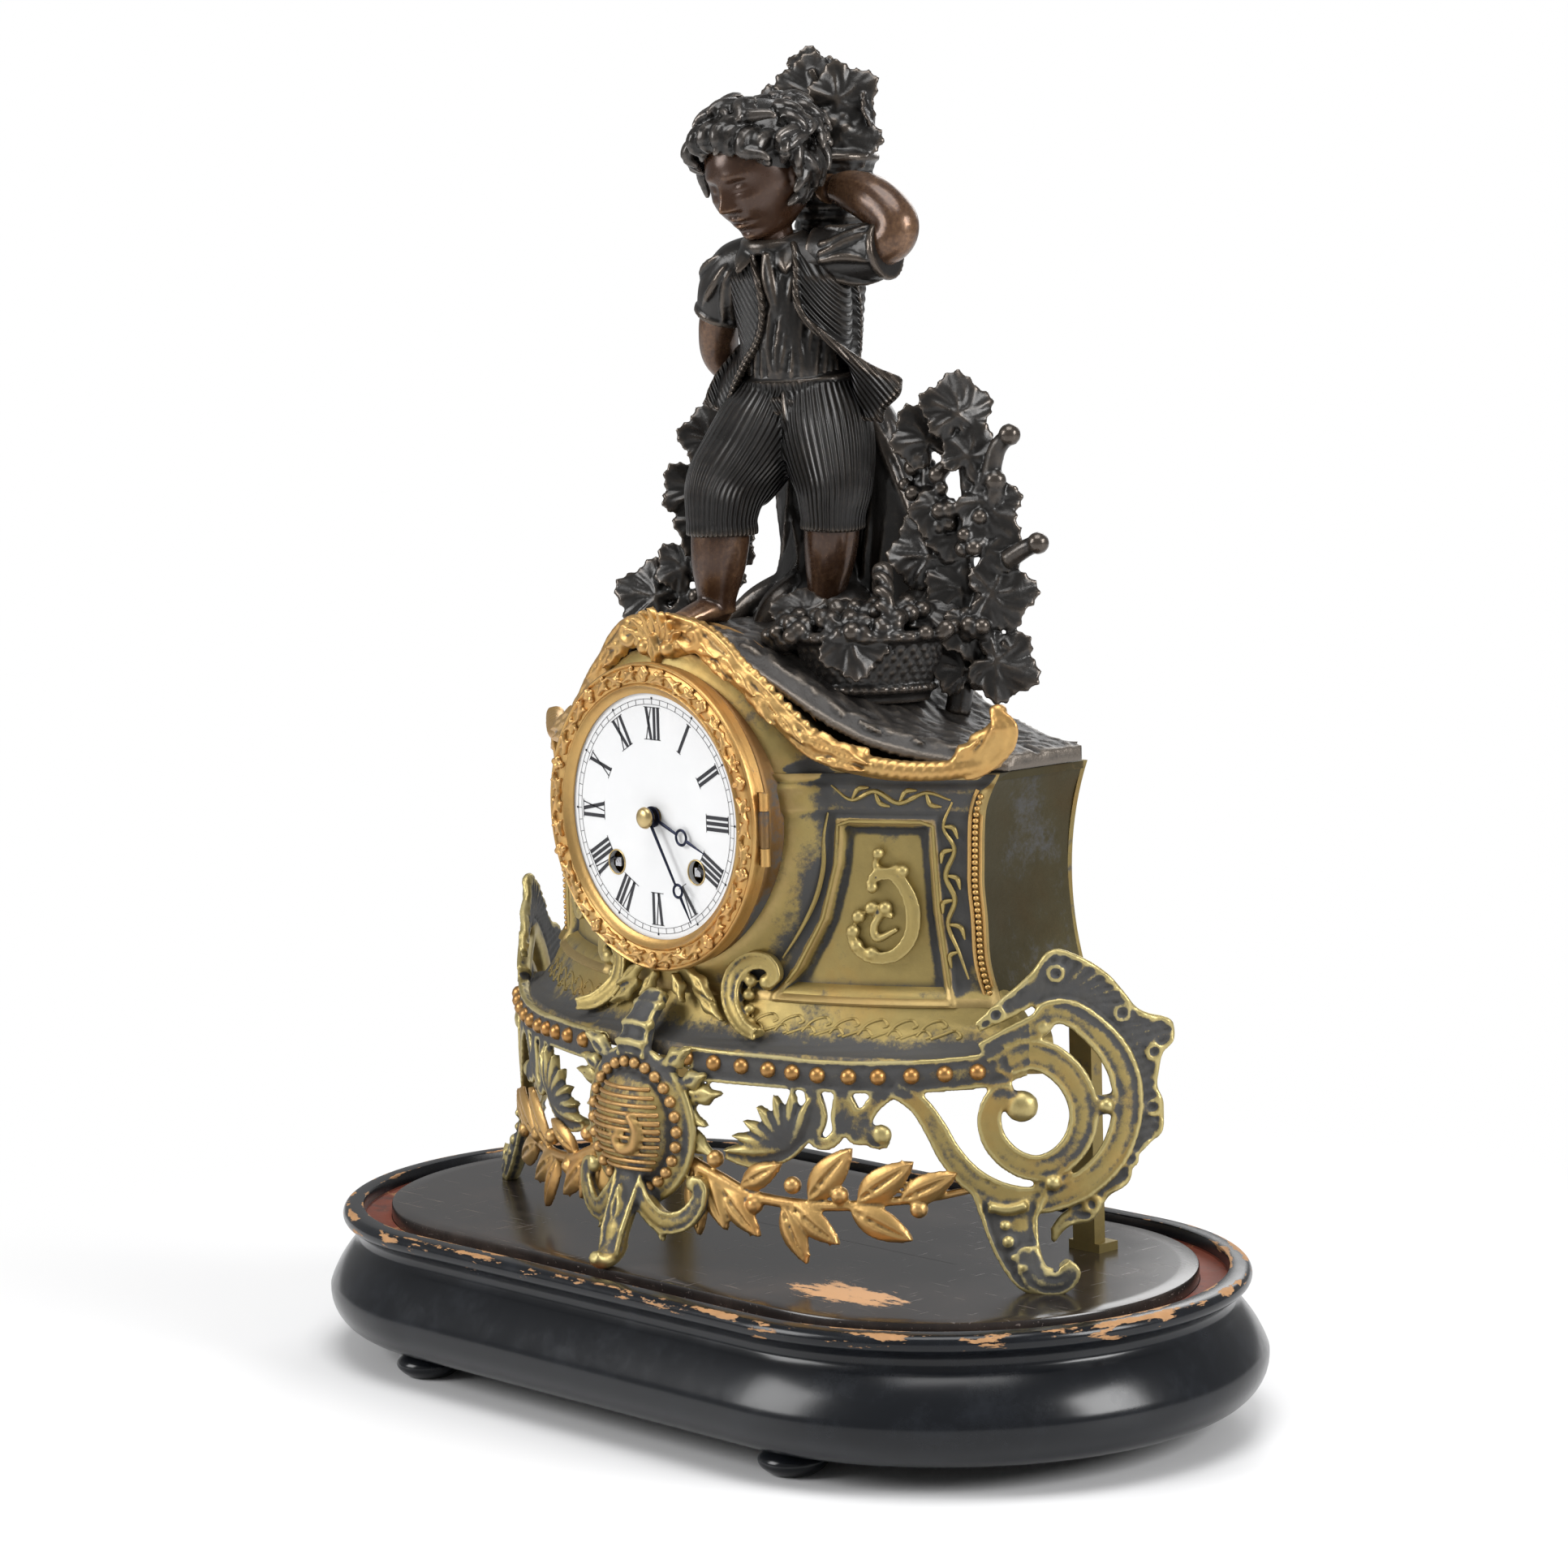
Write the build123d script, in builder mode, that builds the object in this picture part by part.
"""Figural mantel clock: wooden base, bowed gilt case, cast figure group and two-train movement.

Millimetres, +Z up, the dial faces -Y, and the origin is on the floor under the base's middle.
"""
import math
import os

from build123d import *

os.makedirs("parts", exist_ok=True)

# Base
BASE_HALF_LENGTH = 183.0
BASE_HALF_WIDTH = 97.0
BASE_HEIGHT = 52.0
BASE_FOOT_HEIGHT = 9.0
BASE_FOOT_RADIUS = 11.5
BASE_FOOT_SPREAD_X = 93.0
BASE_BULGE = 5.5
BASE_NECK = 5.0
LIP_WIDTH = 7.3
LIP_HEIGHT = 6.0
GROOVE_WIDTH = 9.5
GROOVE_DEPTH = 5.0
BOARD_THICKNESS = 8.0
BOARD_LEDGE = 13.0
BOARD_CLEARANCE = 0.2

# Case on its bowed plan
BOW_CENTRE_Y = 117.0
CASE_BOW_RADIUS = 158.0
CASE_WALL = 3.0
CASE_FOOT_HALF = 108.0
CASE_WAIST_HALF = 100.0
CASE_SHOULDER_HALF = 108.0
CASE_SHOULDER_RISE = 76.0
CASE_CROWN_RISE = 40.0
CASE_BACK_Y = 42.0
DECK_BOW_RADIUS = 174.0
DECK_HALF = 112.0
DECK_HEIGHT = 14.0
DECK_RAIL = 16.0
BACK_PANEL_THICKNESS = 2.0
REAR_LEG_X = 104.0
REAR_LEG_WIDTH = 10.0
REAR_LEG_DEPTH = 5.0

# Apron
APRON_BOW_RADIUS = 175.0
APRON_THICKNESS = 7.0
APRON_HEIGHT = 75.0
APRON_FACING = 36.0
RAIL_HEIGHT = 10.5
BEAD_RADIUS = 2.7
BEAD_COUNT = 12
SCROLL_T = 34.5
SCROLL_DROP = 17.0
SCROLL_RADIUS = 27.5
SCROLL_BAND = 6.0
VOLUTE_RADIUS = 17.0
VOLUTE_BAND = 5.0
PANEL_FACING = 33.0
ORNAMENT_RELIEF = 2.5
ROPE_RADIUS = 2.6

# Dial side
DIAL_RISE = 148.0
DRUM_RADIUS = 51.0
DRUM_WALL = 3.0
DRUM_FRONT_Y = -47.0
DIAL_RADIUS = 43.7
DIAL_THICKNESS = 2.0
DIAL_SEAT_DEPTH = 2.0
DIAL_RING_THICKNESS = 3.0
DIAL_RING_BORE = 36.0
BEZEL_RADIUS = 51.5
BEZEL_SIGHT_RADIUS = 40.0
BEZEL_DEPTH = 6.7
BEZEL_GAP = 0.3
BEZEL_HINGE_X = 53.2
KNUCKLE_RADIUS = 1.6
KNUCKLE_HALF = 6.0
KNUCKLE_LENGTH = 5.8
POST_RADIUS = 1.8
POST_RING = 38.0
WIND_HOLE_RADIUS = 4.2
HOUR_PIPE_RADIUS = 2.6
CANNON_RADIUS = 1.7
PIN_RADIUS = 0.7
FIT = 0.05

# Movement: depths are measured back from the inner face of the front plate
PLATE_RADIUS = 40.0
PLATE_THICKNESS = 2.0
PLATE_GAP = 26.0
FRONT_PLATE_INNER_Y = -40.0
PILLAR_RADIUS = 2.2
PILLAR_RING = 36.0
PILLAR_ANGLES = (8, 60, 120, 172, 270)
ARBOR_RADIUS = 0.9
MINUTE_STUD_RADIUS = 1.0
FLY_HALF = 4.8
ADDENDUM = 0.75
DEDENDUM = 1.05
TOOTH_TIP = 0.09
TOOTH_ROOT = 0.21
TRAIN_MODULE = 0.5
FINE_MODULE = 0.42
HOUR_MODULE = 0.48
BARREL_TEETH = 60
WHEEL_TEETH = 48
SECOND_PINION = 10
CENTRE_PINION = 8
FINE_PINION = 6
CANNON_TEETH = 12
MINUTE_TEETH = 36
MINUTE_PINION = 10
HOUR_TEETH = 40
BARREL_X = 20.0
BARREL_DROP = 17.0
BARREL_RADIUS = 14.9
BARREL_WALL = 0.8
SPRING_TURNS = 5
SPRING_STRIP = 0.5
WIND_ARBOR_RADIUS = 2.2
WIND_SQUARE = 2.9
RATCHET_RADIUS = 6.0
ESCAPE_RADIUS = 6.5
ESCAPE_TEETH = 30
PALLET_RISE = 33.0
SUSPENSION_RISE = 36.0
CRUTCH_Y = -9.0
FORK_RISE = 8.5
FORK_CLEARANCE = 0.4
COCK_SLOT = 0.7
SUSPENSION_THICKNESS = 0.3
SUSPENSION_WIDTH = 4.0
PENDULUM_Y = -4.0
ROD_RADIUS = 0.9
PENDULUM_LENGTH = 84.0
BOB_RADIUS = 14.0
BOB_THICKNESS = 7.0
BELL_X = -14.0
BELL_DROP = 10.0
BELL_RADIUS = 24.0
BELL_DEPTH = 16.0
BELL_RIM_Y = 6.0
BELL_WALL = 1.2
BELL_POST_RADIUS = 2.0
HAMMER_X = -27.0
HAMMER_RISE = 23.0
HAMMER_GAP = 0.8
HAMMER_HEAD_RADIUS = 3.0
HAMMER_ARM = 2.6
STRAP_X = 43.5
STRAP_THICKNESS = 2.0
STRAP_WIDTH = 8.0
DOOR_RADIUS = 46.0
DOOR_HOLE_RADIUS = 42.0
DOOR_DOME = 6.0
HOUR_HAND_LENGTH = 28.0
MINUTE_HAND_LENGTH = 39.3
HOUR_HAND_ANGLE = 112.0
MINUTE_HAND_ANGLE = 149.0
HAND_THICKNESS = 0.6
HOUR_EYE_RADIUS = 3.4
MINUTE_EYE_RADIUS = 3.0
EYE_BAND = 0.9
HOUR_EYE_SHARE = 0.55
MINUTE_EYE_SHARE = 0.695
HOUR_HUB_RADIUS = 4.2
MINUTE_HUB_RADIUS = 3.4

# Figure group
MOUND_THICKNESS = 5.0
MOUND_BOW_RADIUS = 150.0
FIGURE_TURN = 20.0
FIGURE_X = 6.0
FIGURE_Y = 13.0
STUD_RADIUS = 3.0
HOD_HOOPS = ((0.12, 13.3), (0.5, 15.3), (0.9, 17.6))
HOD_HOOP_WIDTH = 3.0
ROUND_END = 1.04
BASKET_SHARE = 0.5
BASKET_Y = 7.0
BASKET_TURN = 47.0
BASKET_HEIGHT = 18.0
LEAF_LOBES = ((-150, 0.62), (-75, 0.86), (0, 1.0), (75, 0.86), (150, 0.62))
LEAF_TEETH = ((-32, 0.5), (-21, 0.82), (-14, 0.76), (0, 1.0), (14, 0.76), (21, 0.82))

board_top = BASE_HEIGHT
deck_bottom = board_top + APRON_HEIGHT
deck_top = deck_bottom + DECK_HEIGHT
dial_z = board_top + DIAL_RISE
shoulder_z = deck_top + CASE_SHOULDER_RISE
crown_z = shoulder_z + CASE_CROWN_RISE
mound_top = crown_z + MOUND_THICKNESS
dial_ring_front = DRUM_FRONT_Y - DIAL_RING_THICKNESS
dial_back = DRUM_FRONT_Y - DIAL_SEAT_DEPTH
dial_front = dial_back - DIAL_THICKNESS
bezel_back = dial_ring_front - BEZEL_GAP
bezel_front = bezel_back - BEZEL_DEPTH
front_plate_face = FRONT_PLATE_INNER_Y - PLATE_THICKNESS
back_plate_inner = FRONT_PLATE_INNER_Y + PLATE_GAP
back_plate_face = back_plate_inner + PLATE_THICKNESS
panel_back_y = CASE_BACK_Y + BACK_PANEL_THICKNESS


def save(builder, node):
    """Label a finished sub-part and write its STEP file."""
    builder.part.label = node
    export_step(builder.part, f"parts/{node}.step")


def front_plane(y, x=0.0, z=0.0):
    """A drawing plane that faces the front, placed from the dial centre."""
    return Plane(origin=(x, y, dial_z + z), x_dir=(1, 0, 0), z_dir=(0, -1, 0))


def turned_plane(y, place=(0.0, 0.0), seam_on_top=True):
    """A plane for a profile of (radius, depth behind y), turned about an axis along Y."""
    origin = (place[0], y, dial_z + place[1])
    if seam_on_top:
        return Plane(origin=origin, x_dir=(0, 0, 1), z_dir=(-1, 0, 0))
    return Plane(origin=origin, x_dir=(1, 0, 0), z_dir=(0, 0, 1))


def turning_axis(place=(0.0, 0.0)):
    """The axis along Y through an (x, z) place from the dial centre."""
    return Axis((place[0], 0, dial_z + place[1]), (0, 1, 0))


def largest(builder):
    """Keep the biggest solid of a part, dropping the crumbs that a cut leaves."""
    builder.part = builder.part.solids().sort_by(SortBy.VOLUME)[-1]


def polar(radius, angle, start=(0.0, 0.0)):
    """The place at a radius and an angle in degrees from a starting place."""
    turn = math.radians(angle)
    return (start[0] + radius * math.cos(turn), start[1] + radius * math.sin(turn))


def rod(place, y_front, y_back, radius, mode=Mode.ADD):
    """A round bar along Y at an (x, z) place from the dial centre."""
    with Locations((place[0], (y_front + y_back) / 2, dial_z + place[1])):
        Cylinder(radius, y_back - y_front, rotation=(90, 0, 0), mode=mode)


def depth(value):
    """The Y of a depth measured back from the inner face of the front plate."""
    return FRONT_PLATE_INNER_Y + value


def bow_plane(angle, radius):
    """A drawing plane tangent to the bowed front at an angle to its right, at floor level."""
    turn = math.radians(angle)
    outward = (math.sin(turn), -math.cos(turn), 0)
    origin = (radius * outward[0], BOW_CENTRE_Y + radius * outward[1], 0)
    return Plane(origin=origin, x_dir=(math.cos(turn), math.sin(turn), 0), z_dir=outward)


def bow_shell(outer, inner, bottom, top):
    """A round wall about the bow's axis."""
    with BuildPart() as shell:
        with BuildSketch(Plane.XY.offset(bottom)):
            with Locations((0, BOW_CENTRE_Y)):
                Circle(outer)
                Circle(inner, mode=Mode.SUBTRACT)
        extrude(amount=top - bottom)
    return shell.part


# Base moulding, board and feet

lip_straight = BASE_HALF_LENGTH - BASE_HALF_WIDTH
board_inset = LIP_WIDTH + GROOVE_WIDTH
groove_floor = BASE_HEIGHT - GROOVE_DEPTH
board_seat = BASE_HEIGHT - BOARD_THICKNESS
moulding_inner = board_inset + BOARD_LEDGE
moulding_foot = 4.0
lip_bottom = BASE_HEIGHT - LIP_HEIGHT
neck_z = lip_bottom - 6.0
bulge_z = BASE_FOOT_HEIGHT + 15.0

with BuildPart() as base_moulding:
    with BuildLine(Plane.XY) as lip_path:
        Line((0, -BASE_HALF_WIDTH), (lip_straight, -BASE_HALF_WIDTH))
        CenterArc((lip_straight, 0), BASE_HALF_WIDTH, -90, 180)
        Line((lip_straight, BASE_HALF_WIDTH), (-lip_straight, BASE_HALF_WIDTH))
        CenterArc((-lip_straight, 0), BASE_HALF_WIDTH, 90, 180)
        Line((-lip_straight, -BASE_HALF_WIDTH), (0, -BASE_HALF_WIDTH))
    section_plane = Plane(origin=(0, -BASE_HALF_WIDTH, 0), x_dir=(0, -1, 0), z_dir=(-1, 0, 0))
    with BuildSketch(section_plane):
        with BuildLine():
            Polyline(
                (-moulding_foot, BASE_FOOT_HEIGHT),
                (-moulding_inner, BASE_FOOT_HEIGHT),
                (-moulding_inner, board_seat),
                (-board_inset, board_seat),
                (-board_inset, groove_floor),
                (-LIP_WIDTH, groove_floor),
                (-LIP_WIDTH, BASE_HEIGHT),
                (-1.5, BASE_HEIGHT),
            )
            ThreePointArc((-1.5, BASE_HEIGHT), (0.3, BASE_HEIGHT - 3.0), (-1.5, lip_bottom))
            ThreePointArc((-1.5, lip_bottom), (-BASE_NECK, lip_bottom - 2.5), (-BASE_NECK, neck_z))
            ThreePointArc((-BASE_NECK, neck_z), (1.0, neck_z - 7.0), (BASE_BULGE, bulge_z))
            ThreePointArc((BASE_BULGE, bulge_z), (4.0, bulge_z - 8.0), (-moulding_foot, BASE_FOOT_HEIGHT))
        make_face()
    sweep(path=lip_path.wires()[0])
save(base_moulding, "base_moulding")

with BuildPart() as base_board:
    with BuildSketch(Plane.XY.offset(board_seat)):
        board_trim = board_inset + BOARD_CLEARANCE
        SlotOverall(2 * (BASE_HALF_LENGTH - board_trim), 2 * (BASE_HALF_WIDTH - board_trim))
    extrude(amount=BOARD_THICKNESS)
    chamfer(base_board.faces().sort_by(Axis.Z)[-1].edges(), 0.6)
save(base_board, "base_board")

foot_spread_y = BASE_HALF_WIDTH - moulding_foot - BASE_FOOT_RADIUS
with BuildPart() as base_feet:
    with BuildSketch(Plane.XZ):
        with BuildLine():
            Line((0, 0), (0, BASE_FOOT_HEIGHT))
            Line((0, BASE_FOOT_HEIGHT), (0.75 * BASE_FOOT_RADIUS, BASE_FOOT_HEIGHT))
            ThreePointArc(
                (0.75 * BASE_FOOT_RADIUS, BASE_FOOT_HEIGHT),
                (BASE_FOOT_RADIUS, 0.5 * BASE_FOOT_HEIGHT),
                (0.6 * BASE_FOOT_RADIUS, 0),
            )
            Line((0.6 * BASE_FOOT_RADIUS, 0), (0, 0))
        make_face()
    bun = revolve(axis=Axis.Z, mode=Mode.PRIVATE)
    with GridLocations(2 * BASE_FOOT_SPREAD_X, 2 * foot_spread_y, 2, 2):
        add(bun)
save(base_feet, "base_feet")

# Case shell, deck and back

def case_outline(plane, inset=0.0, drop=0.0):
    """The waisted bell outline of the case as a face, inset for its hollow."""
    foot = (CASE_FOOT_HALF - inset, deck_top - drop)
    waist = (CASE_WAIST_HALF - inset, deck_top + 0.55 * CASE_SHOULDER_RISE)
    shoulder = (CASE_SHOULDER_HALF - inset, shoulder_z - inset)
    ledge = (0.76 * CASE_SHOULDER_HALF, shoulder_z - inset)
    bell = (0.48 * CASE_SHOULDER_HALF, shoulder_z + 0.45 * CASE_CROWN_RISE - inset)
    crown = (0, crown_z - inset)
    with BuildSketch(plane) as outline:
        with BuildLine():
            Line((0, foot[1]), foot)
            ThreePointArc(foot, waist, shoulder)
            Line(shoulder, ledge)
            Spline(ledge, bell, crown, tangents=[(-1, 0), (-1, 0)])
            Line(crown, (0, foot[1]))
        make_face()
        mirror(about=Plane.YZ)
    return outline.sketch


case_length = CASE_BACK_Y + CASE_BOW_RADIUS
rear_plane = Plane(origin=(0, CASE_BACK_Y, 0), x_dir=(1, 0, 0), z_dir=(0, -1, 0))
case_outer_face = case_outline(rear_plane)
case_inner_face = case_outline(rear_plane, inset=CASE_WALL, drop=1.0)
bow_solid_outer = bow_shell(CASE_BOW_RADIUS, 1.0, 0, crown_z + 1)
bow_solid_inner = bow_shell(CASE_BOW_RADIUS - CASE_WALL, 1.0, 0, crown_z + 1)

with BuildPart() as case_hollow:
    extrude(case_inner_face, amount=case_length)
    add(bow_solid_inner, mode=Mode.INTERSECT)

with BuildPart() as case_body:
    extrude(case_outer_face, amount=case_length)
    add(bow_solid_outer, mode=Mode.INTERSECT)
    rod((0, 0), DRUM_FRONT_Y, 0, DRUM_RADIUS)
    add(case_hollow.part, mode=Mode.SUBTRACT)
    rod((0, 0), DRUM_FRONT_Y, 0, DRUM_RADIUS - DRUM_WALL, mode=Mode.SUBTRACT)
    with Locations((FIGURE_X, FIGURE_Y, crown_z)):
        Cylinder(STUD_RADIUS + FIT, 30, mode=Mode.SUBTRACT)
save(case_body, "case_body")

deck_lip_inner = CASE_BOW_RADIUS - CASE_WALL - 2.0
with BuildPart() as deck:
    with BuildSketch(Plane.XZ):
        with BuildLine():
            Polyline(
                (DECK_BOW_RADIUS, deck_bottom + 4.0),
                (DECK_BOW_RADIUS, deck_bottom),
                (20.0, deck_bottom),
                (20.0, deck_top),
                (CASE_BOW_RADIUS + 1.5, deck_top),
                (CASE_BOW_RADIUS + 1.5, deck_top - 3.0),
            )
            ThreePointArc(
                (CASE_BOW_RADIUS + 1.5, deck_top - 3.0),
                (CASE_BOW_RADIUS + 5.0, deck_bottom + 6.5),
                (DECK_BOW_RADIUS, deck_bottom + 4.0),
            )
        make_face()
    deck_ring = revolve(axis=Axis.Z, mode=Mode.PRIVATE)
    add(Location((0, BOW_CENTRE_Y, 0)) * deck_ring)
    with BuildSketch(Plane.XY.offset(deck_bottom)):
        with Locations((0, CASE_BACK_Y)):
            Rectangle(2 * DECK_HALF, 120, align=(Align.CENTER, Align.MAX))
    extrude(amount=DECK_HEIGHT, mode=Mode.INTERSECT)
    with BuildSketch(Plane.XY.offset(deck_bottom)):
        with Locations((0, BOW_CENTRE_Y)):
            Circle(deck_lip_inner)
        with Locations((0, CASE_BACK_Y - 6.0)):
            opening_width = 2 * (DECK_HALF - DECK_RAIL)
            Rectangle(opening_width, 120, align=(Align.CENTER, Align.MAX), mode=Mode.INTERSECT)
    extrude(amount=DECK_HEIGHT, mode=Mode.SUBTRACT)
save(deck, "deck")

with BuildPart() as back_panel:
    extrude(case_outline(rear_plane), amount=-BACK_PANEL_THICKNESS)
    rod((0, 0), CASE_BACK_Y, panel_back_y, DOOR_HOLE_RADIUS, mode=Mode.SUBTRACT)
    for low in (-14.0, 8.2):
        with Locations((DOOR_RADIUS + 4.0, panel_back_y + KNUCKLE_RADIUS, dial_z + low)):
            Cylinder(KNUCKLE_RADIUS, 5.8, align=(Align.CENTER, Align.CENTER, Align.MIN))
            Box(2.4, KNUCKLE_RADIUS, 5.8, align=(Align.CENTER, Align.MAX, Align.MIN))
            Cylinder(PIN_RADIUS, 5.8, align=(Align.CENTER, Align.CENTER, Align.MIN), mode=Mode.SUBTRACT)
save(back_panel, "back_panel")

door_hinge_y = panel_back_y + KNUCKLE_RADIUS
with BuildPart() as back_door:
    with BuildSketch(turned_plane(panel_back_y + 0.3)):
        with BuildLine():
            dome_start = (DOOR_RADIUS - 5.0, 1.4)
            Polyline((0, 1.0), (DOOR_RADIUS - 6.0, 1.0), (DOOR_RADIUS - 4.0, 0.0), (DOOR_RADIUS, 0.0))
            Polyline((DOOR_RADIUS, 0.0), (DOOR_RADIUS, 1.4), dome_start)
            dome_middle = (0.5 * DOOR_RADIUS, 0.8 * DOOR_DOME)
            Spline(dome_start, dome_middle, (0, DOOR_DOME), tangents=[(-1, 0.3), (-1, 0)])
            Line((0, DOOR_DOME), (0, 1.0))
        make_face()
    revolve(axis=turning_axis())
    with Locations((DOOR_RADIUS + 4.0, door_hinge_y, dial_z)):
        Cylinder(KNUCKLE_RADIUS, 16.0)
        Box(6.0, 1.1, 16.0, align=(Align.MAX, Align.CENTER, Align.CENTER))
        Cylinder(PIN_RADIUS + FIT, 16.0, mode=Mode.SUBTRACT)
save(back_door, "back_door")

with BuildPart() as rear_legs:
    with BuildSketch(Plane.XY.offset(board_top)):
        with Locations((REAR_LEG_X, CASE_BACK_Y), (-REAR_LEG_X, CASE_BACK_Y)):
            Rectangle(REAR_LEG_WIDTH, REAR_LEG_DEPTH, align=(Align.CENTER, Align.MIN))
    extrude(amount=APRON_HEIGHT + DECK_HEIGHT)
    with Locations((REAR_LEG_X, CASE_BACK_Y, board_top), (-REAR_LEG_X, CASE_BACK_Y, board_top)):
        Box(REAR_LEG_WIDTH + 4, REAR_LEG_DEPTH + 4, 3.0, align=(Align.CENTER, Align.MIN, Align.MIN))
save(rear_legs, "rear_legs")

# Apron: drawn flat on a plane facing the right half, then bowed by the wall it is cut from

def lens_leaf(centre, angle, length, width):
    """A pointed leaf face."""
    turn = math.radians(angle)
    along = (math.cos(turn), math.sin(turn))
    tip = (centre[0] + along[0] * length / 2, centre[1] + along[1] * length / 2)
    heel = (centre[0] - along[0] * length / 2, centre[1] - along[1] * length / 2)
    left = (centre[0] - along[1] * width / 2, centre[1] + along[0] * width / 2)
    right = (centre[0] + along[1] * width / 2, centre[1] - along[0] * width / 2)
    with BuildSketch(mode=Mode.PRIVATE) as leaf:
        with BuildLine():
            ThreePointArc(heel, left, tip)
            ThreePointArc(tip, right, heel)
        make_face()
    return leaf.sketch


def arc_band(start, middle, end, width):
    """A band of even width along an arc, with round ends."""
    with BuildSketch(mode=Mode.PRIVATE) as band:
        with BuildLine(mode=Mode.PRIVATE) as line:
            ThreePointArc(start, middle, end)
        SlotArc(line.edges()[0], width)
    return band.sketch


rail_bottom = deck_bottom - RAIL_HEIGHT
scroll_z = deck_bottom - SCROLL_DROP
rail_left = -98.0
laurel_z = board_top + 26.0
laurel_start = (-88.0, laurel_z + 12.0)
laurel_leaves = 6
leaf_length = 17.0
leaf_width = 7.0
leaf_drop = 4.4
leaf_lift = 2.8
fan_hub = (-72.0, laurel_z + 12.0)
fan_radius = 29.0
frill_lobes = 8

with BuildSketch(bow_plane(APRON_FACING, APRON_BOW_RADIUS)) as apron_half:
    with Locations(((rail_left + SCROLL_T) / 2, deck_bottom - RAIL_HEIGHT / 2)):
        Rectangle(SCROLL_T - rail_left, RAIL_HEIGHT)
    with Locations((SCROLL_T, scroll_z)):
        for lobe in range(frill_lobes):
            swing = math.radians(-95 + 165 * lobe / (frill_lobes - 1))
            with Locations(((SCROLL_RADIUS + 1) * math.cos(swing), (SCROLL_RADIUS + 1) * math.sin(swing))):
                Circle(8.5)
        Circle(SCROLL_RADIUS - SCROLL_BAND, mode=Mode.SUBTRACT)
        Circle(VOLUTE_RADIUS)
        Circle(VOLUTE_RADIUS - VOLUTE_BAND, mode=Mode.SUBTRACT)
        with Locations((-9.5, 2.5)):
            Circle(5.0)
        for swing in (5, -80, 95, 170):
            turn = math.radians(swing)
            with Locations((19.5 * math.cos(turn), 19.5 * math.sin(turn))):
                Circle(4.2)
    add(lens_leaf((41.0, deck_bottom + 19.0), 70, 36, 13))
    add(lens_leaf((62.0, deck_bottom + 2.0), 35, 30, 12))
    add(arc_band((2.0, rail_bottom), (-3.0, scroll_z - 9), (10.0, laurel_z + 7), 6.0))
    with BuildLine():
        leg_top = laurel_z + 10.0
        leg_low = board_top + 9.0
        leg_outer = ((SCROLL_T + 4, leg_top - 4), (SCROLL_T, leg_low))
        Polyline((6.0, leg_top), *leg_outer, (17.0, leg_low), close=True)
    make_face()
    add(arc_band(laurel_start, (-38.0, laurel_z - 2.0), (12.0, laurel_z + 5.0), 3.4))
    for leaf in range(laurel_leaves):
        place = -78.0 + 15.0 * leaf
        rise = laurel_z + max(0.0, 2.0 - leaf) * 4.5
        add(lens_leaf((place, rise - leaf_drop), -28, leaf_length, leaf_width))
        add(lens_leaf((place + 3.0, rise + leaf_lift), 28, leaf_length, leaf_width))
    with Locations(fan_hub):
        Circle(6.0)
    with BuildLine():
        low_tip = polar(fan_radius, 12, fan_hub)
        high_tip = polar(fan_radius, 62, fan_hub)
        Line(fan_hub, low_tip)
        RadiusArc(low_tip, high_tip, -fan_radius)
        Line(high_tip, fan_hub)
    make_face()
    for bracket_t in (-37.0, -24.0):
        with Locations((bracket_t, rail_bottom - 8.0)):
            Circle(5.5)
    with Locations((-30.5, rail_bottom - 3.0)):
        Rectangle(9.0, 10.0)

cartouche_z = board_top + 45.0
cartouche_y = BOW_CENTRE_Y - APRON_BOW_RADIUS
centre_foot_y = cartouche_y - 17.0
apron_wall = bow_shell(
    APRON_BOW_RADIUS, APRON_BOW_RADIUS - APRON_THICKNESS, board_top, mound_top
)

with BuildPart() as apron_plate:
    extrude(apron_half.sketch, amount=70, both=True)
    add(apron_wall, mode=Mode.INTERSECT)
    split(bisect_by=Plane.YZ, keep=Keep.TOP)
    mirror(about=Plane.YZ)

leg_stations = (
    ((113.0, -17.0, laurel_z + 8.0), 7.0),
    ((121.0, -15.0, board_top + 19.0), 6.5),
    ((132.0, -16.0, board_top + 8.0), 6.0),
    ((139.0, -15.0, board_top + 5.0), 5.0),
)


def tapered(stations, round_ends=True):
    """A loft through round stations along a bent limb or branch."""
    sections = []
    for index, (centre, radius) in enumerate(stations):
        before = Vector(*stations[max(index - 1, 0)][0])
        after = Vector(*stations[min(index + 1, len(stations) - 1)][0])
        heading = (after - before).normalized()
        side = heading.cross(Vector(0.31, 0.94, 0.13)).normalized()
        with BuildSketch(Plane(origin=centre, x_dir=side, z_dir=heading)) as section:
            Circle(radius)
        sections.append(section.sketch)
    with BuildPart() as limb:
        loft(sections)
        for centre, radius in (stations[0], stations[-1]) if round_ends else ():
            with Locations(centre):
                Sphere(ROUND_END * radius)
    return limb.part


leg_right = tapered(leg_stations)
centre_foot = tapered(
    (
        ((0.0, cartouche_y + 2.0, cartouche_z - 18.0), 9.0),
        ((0.0, cartouche_y - 5.0, board_top + 16.0), 7.0),
        ((0.0, centre_foot_y + 4.0, board_top + 6.0), 6.0),
    )
)

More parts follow.
